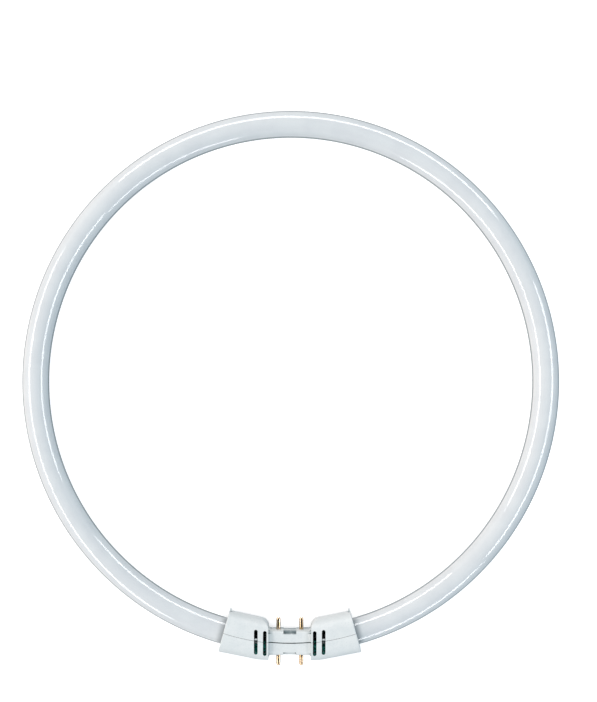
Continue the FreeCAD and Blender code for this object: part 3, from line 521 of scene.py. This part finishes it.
def plastic_finish(name, settings, corner_fade=None):
    """Fine-grained white plastic, with painted shade that greys its corners and darkens it
    behind its openings. With corner_fade, the painted grey of the corners fades in between those
    two places along Y."""
    finish = Finish(name, {"Roughness": settings.roughness, "Specular IOR Level": 0.35})
    cloud = finish.ramp(finish.noise(settings.cloud_size, detail=5.0, roughness=0.6), 0.3, 0.7)
    colour = finish.mix(cloud, settings.plastic, settings.plastic_light)
    speck = finish.ramp(finish.noise(settings.speck_size), 0.50, 0.75)
    colour = finish.mix(finish.times(speck, settings.speck_share), colour, settings.speck)
    # Painted shade: corners, found by ambient occlusion, and the hollow ends of the bar are
    # greyed.
    corner = finish.ramp(finish.openness(settings.corner_reach, samples=12), 0.95, 0.40)
    if corner_fade:
        corner = finish.times(corner, finish.ramp(finish.coordinate("Y"), *corner_fade))
    for mask in (finish.times(corner, settings.corner_share),
                 finish.times(hollow_ends(finish), settings.hollow_shade_share)):
        colour = finish.mix(mask, colour, settings.corner_shade)
    # Painted shade: plastic that is shut in deep inside the cap, with the collars counting as
    # more shut in, is painted near black.
    in_collar = finish.ramp(finish.offset("X"), *COLLAR_X)
    openness = finish.math("SUBTRACT", finish.openness(settings.dark_reach, samples=16),
                           finish.times(in_collar, settings.collar_share))
    inside = finish.ramp(openness, 0.50, 0.25)
    colour = finish.mix(inside, colour, settings.dark)
    finish.set(finish.shader, {"Base Color": colour})
    finish.bump(finish.noise(settings.grain, detail=3.0, roughness=0.7), settings.grain_height)
    return finish, colour, inside


def inner_half_finish(settings):
    """The same plastic, with painted shade in streaks in the key notches and on the pin face
    towards the back.
    """
    finish, colour, _ = plastic_finish("inner_cap_plastic", settings)
    across, y, z = finish.offset("X"), finish.coordinate("Y"), finish.coordinate("Z")
    # Painted shade: the pin face towards the back and the key notches are greyed in streaks.
    face = finish.times(finish.ramp(y, *FACE_Y), finish.ramp(z, *FACE_FROM_FRONT, smooth=False),
                        finish.ramp(across, *FACE_X))
    notch = finish.math("MAXIMUM", finish.ramp(finish.offset("Z"), *NOTCH_Z),
                        finish.ramp(z, *NOTCH_FROM_FRONT, smooth=False))
    notch = finish.times(notch, finish.ramp(y, *NOTCH_Y), finish.ramp(across, *NOTCH_X),
                         settings.notch_shade_share)
    streak = finish.ramp(finish.noise(settings.streak_size, stretch=(1.0, 0.2, 0.2)), 0.20, 0.50)
    mask = finish.times(finish.math("MAXIMUM", face, notch), streak)
    finish.set(finish.shader, {"Base Color": finish.mix(mask, colour, settings.face)})
    return finish.material


def outer_half_finish(settings):
    """The same plastic, whose inside glows faintly by emission: painted light for the light that
    the wall lets through.
    """
    finish, _, inside = plastic_finish("outer_cap_plastic", settings, OUTER_CORNER_Y)
    y = finish.coordinate("Y")
    # Painted light: the inside of the outer half glows by emission, in patches.
    patches = finish.ramp(finish.noise(settings.leak_size), 0.40, 0.72)
    glow = finish.times(inside, finish.ramp(y, *GLOW_NEAR_Y), finish.ramp(y, *GLOW_FAR_Y),
                        finish.math("ADD", patches, settings.leak_share))
    finish.set(finish.shader, {"Emission Color": settings.leak, "Emission Strength": glow})
    return finish.material


class LAMP_OT_cap(bpy.types.Operator):
    """Gives the two moulded halves of the cap their plastic"""
    bl_idname = "lamp.cap"
    bl_label = "Cap"

    def execute(self, context):
        settings = context.scene.ring_lamp.cap
        give_finish(NODES["inner_cap_shell"], inner_half_finish(settings))
        give_finish(NODES["outer_cap_shell"], outer_half_finish(settings))
        return {"FINISHED"}


def give_finish_to_group(start, material):
    """Shows every node whose name starts that way in one material."""
    for name, node in NODES.items():
        if name.startswith(start):
            give_finish(node, material)


def brass_finish(settings):
    """Turned brass: duller patches, fine rings round the pin and a sharp gloss."""
    finish = Finish("pin_brass", {"Metallic": 1.0})
    patch = finish.ramp(finish.noise(settings.patch_size, detail=3.0), 0.40, 0.75)
    rings = finish.noise(settings.mark, detail=1.0, stretch=(0.05, 1.0, 0.05))
    finish.set(finish.shader, {
        "Base Color": finish.mix(patch, settings.brass, settings.brass_dark),
        "Roughness": finish.between(patch, settings.roughness, settings.roughness_dull)})
    finish.bump(rings, settings.mark_height, strength=0.3)
    return finish.material


class LAMP_OT_pins(bpy.types.Operator):
    """Gives the four contact pins their brass"""
    bl_idname = "lamp.pins"
    bl_label = "Contact pins"

    def execute(self, context):
        give_finish_to_group("contact_pin", brass_finish(context.scene.ring_lamp.pins))
        return {"FINISHED"}


def wire_finish(settings):
    """Drawn wire: bright metal with fine lines along it."""
    finish = Finish("lead_metal", {"Metallic": 1.0})
    patch = finish.noise(settings.patch_size, detail=4.0)
    lines = finish.noise(settings.line, detail=1.0, stretch=(0.1, 1.0, 1.0))
    finish.set(finish.shader, {
        "Base Color": finish.mix(patch, settings.wire, settings.wire_dark),
        "Roughness": finish.between(patch, settings.roughness, settings.roughness_dull)})
    finish.bump(lines, settings.line_height)
    return finish.material


class LAMP_OT_wires(bpy.types.Operator):
    """Gives the four lead wires their drawn metal"""
    bl_idname = "lamp.wires"
    bl_label = "Lead wires"

    def execute(self, context):
        give_finish_to_group("lead_wire", wire_finish(context.scene.ring_lamp.wires))
        return {"FINISHED"}


def floor_mesh(side):
    """A level square in a few large faces."""
    work = bmesh.new()
    bmesh.ops.create_grid(work, x_segments=8, y_segments=8, size=side / 2)
    mesh = bpy.data.meshes.new("studio_floor")
    work.to_mesh(mesh)
    work.free()
    return mesh


def lay_floor(settings):
    """A pale floor just under the cap, which throws no light back onto the lamp."""
    floor = bpy.data.objects.new("studio_floor", floor_mesh(settings.floor_size))
    bpy.context.scene.collection.objects.link(floor)
    floor.location.z = CAP_BOTTOM - settings.floor_drop
    floor.visible_glossy = False
    floor.visible_diffuse = False
    finish = Finish("studio_floor", {"Roughness": 0.9, "Specular IOR Level": 0.1})
    patch = finish.noise(settings.floor_patch)
    finish.set(finish.shader, {
        "Base Color": finish.mix(patch, settings.floor_tint, settings.floor_pale),
        "Emission Color": settings.floor_tint, "Emission Strength": settings.floor_glow})
    give_finish(floor, finish.material)


def towards(azimuth, tilt):
    """A direction: azimuth turns from +X to +Y, tilt is the angle from straight above."""
    azimuth, tilt = math.radians(azimuth), math.radians(tilt)
    return Vector((math.sin(tilt) * math.cos(azimuth), math.sin(tilt) * math.sin(azimuth),
                   math.cos(tilt)))


def soft_box(settings, name, first, last, width):
    """A long soft box that faces the ring and reaches from one direction to another."""
    ends = [towards(*end) * settings.box_distance for end in (first, last)]
    middle = (ends[0] + ends[1]) / 2
    back = middle.normalized()
    long_side = (ends[1] - ends[0]).normalized()
    long_side = (long_side - long_side.dot(back) * back).normalized()
    light = bpy.data.lights.new(name, "AREA")
    light.shape = "RECTANGLE"
    light.size, light.size_y = width, (ends[1] - ends[0]).length
    light.energy = settings.box_light * math.pi * light.size * light.size_y
    lamp = bpy.data.objects.new(name, light)
    lamp.location = middle
    lamp.rotation_mode = "QUATERNION"
    across = long_side.cross(back)
    lamp.rotation_quaternion = Matrix((across, long_side, back)).transposed().to_quaternion()
    lamp.visible_diffuse = False
    bpy.context.scene.collection.objects.link(lamp)


def light_in_reflections(graph, height):
    """The sky's light where a reflection sees it, by the height of the direction."""
    upward = graph.ramp(height, -1.0, 1.0, smooth=False)
    node = graph.add("ShaderNodeFloatCurve", {"Value": upward})
    points = node.mapping.curves[0].points
    points[0].location, points[1].location = SKY_CURVE[0], SKY_CURVE[-1]
    for place in SKY_CURVE[1:-1]:
        points.new(*place)
    node.mapping.update()
    return node.outputs["Value"]


def soft_sky(settings):
    """Even light from all round, stronger and less blue from one side and weaker from below.
    Reflections see it by their own curve, dark straight above, and the camera sees it white."""
    world = bpy.data.worlds.new("studio")
    world.use_nodes = True
    world.node_tree.nodes.clear()
    graph = Graph(world.node_tree)
    direction = graph.add("ShaderNodeTexCoord", {}).outputs["Generated"]
    height = graph.add("ShaderNodeSeparateXYZ", {"Vector": direction}).outputs["Z"]
    ray = graph.add("ShaderNodeLightPath", {})
    below = graph.add("ShaderNodeMapRange", {
        "Value": height, "From Min": -settings.sky_edge, "From Max": settings.sky_edge,
        "To Min": settings.sky_below}).outputs["Result"]
    light = graph.mix(ray.outputs["Is Glossy Ray"], below, light_in_reflections(graph, height),
                      kind="FLOAT")
    lean = graph.add("ShaderNodeVectorMath", {}, operation="DOT_PRODUCT")
    strong_side = towards(math.degrees(settings.sky_turn), 90)
    for socket, setting in zip(lean.inputs, (direction, strong_side)):
        graph.fill(socket, setting)
    side = graph.ramp(lean.outputs["Value"], -1.0, 1.0, smooth=False)
    sky = graph.add("ShaderNodeBackground", {
        "Color": graph.mix(side, settings.sky_weak, settings.sky_strong),
        "Strength": graph.times(light, settings.sky)})
    backdrop = graph.add("ShaderNodeBackground", {"Color": (1.0, 1.0, 1.0), "Strength": 1.0})
    choose = graph.add("ShaderNodeMixShader", {"Fac": ray.outputs["Is Camera Ray"]})
    graph.fill(choose.inputs[1], sky.outputs["Background"])
    graph.fill(choose.inputs[2], backdrop.outputs["Background"])
    graph.add("ShaderNodeOutputWorld", {"Surface": choose.outputs["Shader"]})
    bpy.context.scene.world = world


def set_camera(settings):
    """Straight above the ring, with the picture's height laid over the field."""
    data = bpy.data.cameras.new("camera")
    data.lens = data.sensor_width * settings.distance / settings.field
    camera = bpy.data.objects.new("camera", data)
    camera.location = Vector(settings.centre) + Vector((0.0, 0.0, settings.distance))
    camera.rotation_euler.z = settings.roll
    bpy.context.scene.collection.objects.link(camera)
    bpy.context.scene.camera = camera


class LAMP_OT_stage(bpy.types.Operator):
    """Sets the floor, the soft boxes, the sky and the camera"""
    bl_idname = "lamp.stage"
    bl_label = "Studio"

    def execute(self, context):
        settings = context.scene.ring_lamp.stage
        lay_floor(settings)
        soft_sky(settings)
        for box in SOFT_BOXES:
            soft_box(settings, *box)
        set_camera(settings)
        context.scene.view_settings.view_transform = "Standard"
        return {"FINISHED"}


class LAMP_PT_panel(bpy.types.Panel):
    """Lists the steps and the sizes"""
    bl_label = "Ring Lamp"
    bl_idname = "LAMP_PT_panel"
    bl_space_type = "VIEW_3D"
    bl_region_type = "UI"
    bl_category = "Ring Lamp"

    def draw(self, context):
        for group, operator in (("glass", LAMP_OT_glass), ("cap", LAMP_OT_cap),
                                ("pins", LAMP_OT_pins), ("wires", LAMP_OT_wires),
                                ("stage", LAMP_OT_stage)):
            box = self.layout.box()
            box.operator(operator.bl_idname)
            settings = getattr(context.scene.ring_lamp, group)
            for name in settings.__annotations__:
                box.prop(settings, name)


CLASSES = (GlassSettings, CapSettings, PinSettings, WireSettings, StageSettings, LampSettings,
           LAMP_OT_glass, LAMP_OT_cap, LAMP_OT_pins, LAMP_OT_wires, LAMP_OT_stage,
           LAMP_PT_panel)


def register():
    """Makes the settings, the operators and the panel known."""
    for kind in CLASSES:
        bpy.utils.register_class(kind)
    bpy.types.Scene.ring_lamp = PointerProperty(
        type=LampSettings, name="Ring lamp", description="Sizes and colours of the ring lamp")


def unregister():
    """Takes them away again."""
    del bpy.types.Scene.ring_lamp
    for kind in reversed(CLASSES):
        bpy.utils.unregister_class(kind)


def main():
    """Builds everything."""
    register()
    bpy.ops.lamp.glass()
    bpy.ops.lamp.cap()
    bpy.ops.lamp.pins()
    bpy.ops.lamp.wires()
    bpy.ops.lamp.stage()


if __name__ == "__main__":
    main()
